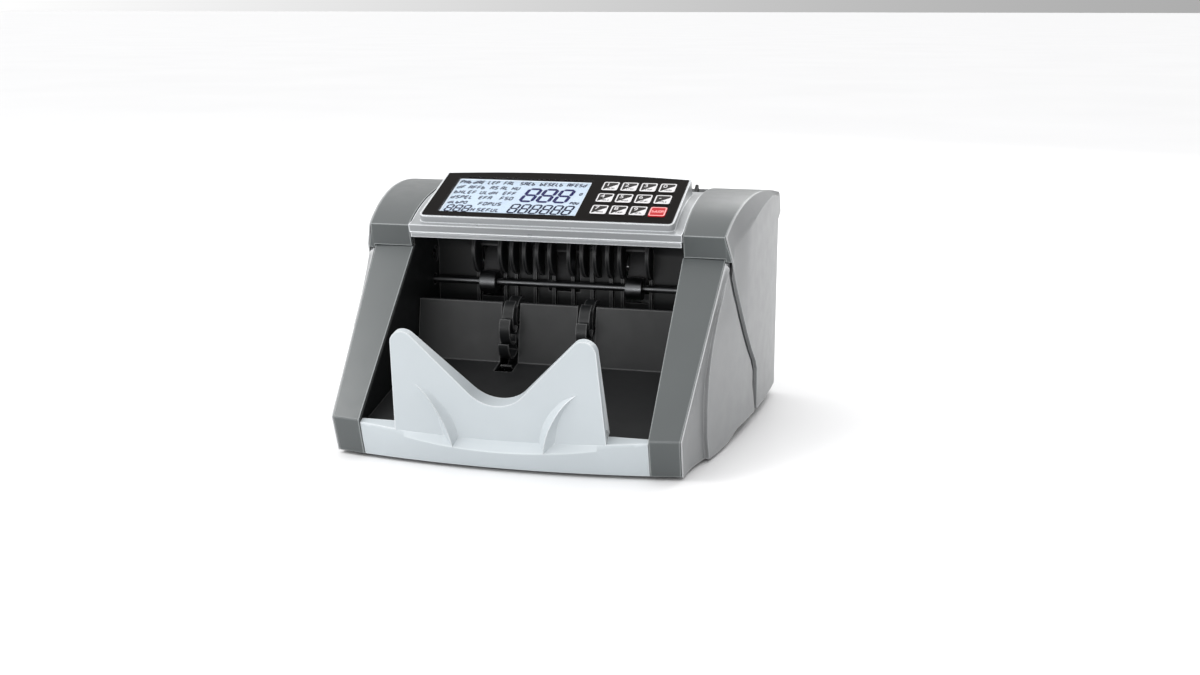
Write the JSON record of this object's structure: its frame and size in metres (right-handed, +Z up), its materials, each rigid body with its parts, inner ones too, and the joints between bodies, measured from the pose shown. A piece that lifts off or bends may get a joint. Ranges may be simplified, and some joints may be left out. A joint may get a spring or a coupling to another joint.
{
  "type": "banknote counting machine",
  "caption": "Desktop note counter with sloped display and keypad, horned stacker plate, driven rollers and a rear note hopper.",
  "frame": {"origin": "bottom centre of the bounding box, on the table", "axes": "+X to the operator's right, +Y to the back, +Z up"},
  "size_m": [0.2884, 0.2728, 0.1754],
  "materials": {
    "dark_shell": "fine satin, mid grey",
    "light_shell": "fine satin, light grey",
    "silver_plastic": "silver painted, semi gloss",
    "pale_plastic": "satin, pale blue grey",
    "seam_grey": "satin, dark grey",
    "black_gloss": "gloss black panel",
    "black_plastic": "black, fine texture",
    "tray_grey": "dark grey, fine texture",
    "clear_window": "clear",
    "lcd": "pale blue backlit display",
    "board_green": "green circuit board",
    "key_black": "black with white line",
    "key_red": "red",
    "switch_red": "red",
    "steel": "bright steel",
    "brass_bush": "sintered bronze",
    "motor_can": "zinc plated can",
    "rubber": "matte black rubber"
  },
  "bodies": {
    "casing": {"base_pan": "tray_grey", "front_pillar_left": "dark_shell", "front_pillar_right": "dark_shell", "hood_cap_left": "dark_shell", "hood_cap_right": "dark_shell", "front_side_left": "light_shell", "front_side_right": "light_shell", "rear_side_left": "light_shell", "rear_side_right": "light_shell", "seam_trims": "seam_grey", "rear_cover": "light_shell", "control_bezel": "silver_plastic", "display_overlay": "black_gloss", "lcd_window": "clear_window", "lcd_module": "lcd", "control_board": "board_green", "stacker_plate": "pale_plastic", "stacker_tray": "tray_grey", "inner_wall_left": "black_plastic", "inner_wall_right": "black_plastic", "note_guide_comb": "black_plastic", "mech_plate_left": "steel", "mech_plate_right": "steel", "shaft_bearings": "brass_bush", "main_motor": "motor_can", "stacker_motor": "motor_can", "drive_belts": "rubber", "hopper_plate": "black_plastic", "main_board": "board_green", "transformer": "steel", "power_inlet": "black_plastic", "display_socket": "black_plastic", "feet": "rubber"},
    "stacker_rotor": {"stacker_shaft": "steel", "impeller_wheels": "black_plastic"},
    "drive_rotor": {"drive_shaft": "steel", "drive_rollers": "rubber"},
    "pinch_rotor": {"pinch_roller_shaft": "steel"},
    "feed_rotor": {"feed_shaft": "steel", "feed_rollers": "rubber"},
    "motor_pulley": {"main_motor_pulley": "steel"},
    "stacker_pulley": {"stacker_motor_pulley": "steel"},
    "pad_carriage": {"friction_pad": "rubber"},
    "gap_knob": {"gap_knob": "black_plastic"},
    "guide_left": {"hopper_guide_left": "black_plastic"},
    "guide_right": {"hopper_guide_right": "black_plastic"},
    "rear_door": {"rear_door": "light_shell"},
    "rocker": {"power_rocker": "switch_red"},
    "key_1": {"key_1": "key_black"},
    "key_2": {"key_2": "key_black"},
    "key_3": {"key_3": "key_black"},
    "key_0": {"key_0": "key_black"},
    "key_4": {"key_4": "key_black"},
    "key_5": {"key_5": "key_black"},
    "key_6": {"key_6": "key_black"},
    "key_minus": {"key_minus": "key_black"},
    "key_7": {"key_7": "key_black"},
    "key_8": {"key_8": "key_black"},
    "key_9": {"key_9": "key_black"},
    "key_start": {"key_start": "key_red"}
  },
  "joints": [
    {"name": "stacker_spin", "type": "hinge", "parent": "casing", "child": "stacker_rotor", "pos_m": [0, 0.002, 0.062], "axis": [1, 0, 0], "continuous": true},
    {"name": "drive_spin", "type": "hinge", "parent": "casing", "child": "drive_rotor", "pos_m": [0, 0.05, 0.105], "axis": [1, 0, 0], "continuous": true},
    {"name": "pinch_spin", "type": "hinge", "parent": "casing", "child": "pinch_rotor", "pos_m": [0, 0.0262, 0.0963], "axis": [1, 0, 0], "continuous": true},
    {"name": "feed_spin", "type": "hinge", "parent": "casing", "child": "feed_rotor", "pos_m": [0, 0.0835, 0.1153], "axis": [1, 0, 0], "continuous": true},
    {"name": "motor_spin", "type": "hinge", "parent": "casing", "child": "motor_pulley", "pos_m": [0, 0.096, 0.072], "axis": [1, 0, 0], "continuous": true},
    {"name": "stacker_motor_spin", "type": "hinge", "parent": "casing", "child": "stacker_pulley", "pos_m": [0, 0.054, 0.056], "axis": [1, 0, 0], "continuous": true},
    {"name": "knob_turn", "type": "hinge", "parent": "casing", "child": "gap_knob", "pos_m": [0, 0.0536, 0.165], "axis": [0, 0, 1], "range_deg": [-360, 360]},
    {"name": "pad_slide", "type": "slide", "parent": "casing", "child": "pad_carriage", "axis": [0, 0, 1], "range_m": [-0.0005, 0.0005]},
    {"name": "guide_left_slide", "type": "slide", "parent": "casing", "child": "guide_left", "axis": [1, 0, 0], "range_m": [0, 0.018]},
    {"name": "guide_right_slide", "type": "slide", "parent": "casing", "child": "guide_right", "axis": [-1, 0, 0], "range_m": [0, 0.018]},
    {"name": "rear_door_hinge", "type": "hinge", "parent": "casing", "child": "rear_door", "pos_m": [0, 0.1264, 0.0565], "axis": [-1, 0, 0], "range_deg": [0, 80]},
    {"name": "power_rocker_tilt", "type": "hinge", "parent": "casing", "child": "rocker", "pos_m": [-0.052, 0.1215, 0.03], "axis": [1, 0, 0], "range_deg": [0, 14]},
    {"name": "key_1_press", "type": "slide", "parent": "casing", "child": "key_1", "axis": [0, 0.3518, -0.9361], "range_m": [0, 0.0005], "stiffness_N_per_m": 400, "springref_m": -0.0002},
    {"name": "key_2_press", "type": "slide", "parent": "casing", "child": "key_2", "axis": [0, 0.3518, -0.9361], "range_m": [0, 0.0005], "stiffness_N_per_m": 400, "springref_m": -0.0002},
    {"name": "key_3_press", "type": "slide", "parent": "casing", "child": "key_3", "axis": [0, 0.3518, -0.9361], "range_m": [0, 0.0005], "stiffness_N_per_m": 400, "springref_m": -0.0002},
    {"name": "key_0_press", "type": "slide", "parent": "casing", "child": "key_0", "axis": [0, 0.3518, -0.9361], "range_m": [0, 0.0005], "stiffness_N_per_m": 400, "springref_m": -0.0002},
    {"name": "key_4_press", "type": "slide", "parent": "casing", "child": "key_4", "axis": [0, 0.3518, -0.9361], "range_m": [0, 0.0005], "stiffness_N_per_m": 400, "springref_m": -0.0002},
    {"name": "key_5_press", "type": "slide", "parent": "casing", "child": "key_5", "axis": [0, 0.3518, -0.9361], "range_m": [0, 0.0005], "stiffness_N_per_m": 400, "springref_m": -0.0002},
    {"name": "key_6_press", "type": "slide", "parent": "casing", "child": "key_6", "axis": [0, 0.3518, -0.9361], "range_m": [0, 0.0005], "stiffness_N_per_m": 400, "springref_m": -0.0002},
    {"name": "key_minus_press", "type": "slide", "parent": "casing", "child": "key_minus", "axis": [0, 0.3518, -0.9361], "range_m": [0, 0.0005], "stiffness_N_per_m": 400, "springref_m": -0.0002},
    {"name": "key_7_press", "type": "slide", "parent": "casing", "child": "key_7", "axis": [0, 0.3518, -0.9361], "range_m": [0, 0.0005], "stiffness_N_per_m": 400, "springref_m": -0.0002},
    {"name": "key_8_press", "type": "slide", "parent": "casing", "child": "key_8", "axis": [0, 0.3518, -0.9361], "range_m": [0, 0.0005], "stiffness_N_per_m": 400, "springref_m": -0.0002},
    {"name": "key_9_press", "type": "slide", "parent": "casing", "child": "key_9", "axis": [0, 0.3518, -0.9361], "range_m": [0, 0.0005], "stiffness_N_per_m": 400, "springref_m": -0.0002},
    {"name": "key_start_press", "type": "slide", "parent": "casing", "child": "key_start", "axis": [0, 0.3518, -0.9361], "range_m": [0, 0.0005], "stiffness_N_per_m": 400, "springref_m": -0.0002}
  ],
  "couplings": [
    {"joint": "pinch_spin", "follows": "drive_spin", "ratio": -2.125},
    {"joint": "feed_spin", "follows": "drive_spin", "ratio": 1},
    {"joint": "motor_spin", "follows": "drive_spin", "ratio": 1.7778},
    {"joint": "stacker_motor_spin", "follows": "stacker_spin", "ratio": 2},
    {"joint": "knob_turn", "follows": "pad_slide", "rad_per_m": 12500}
  ]
}
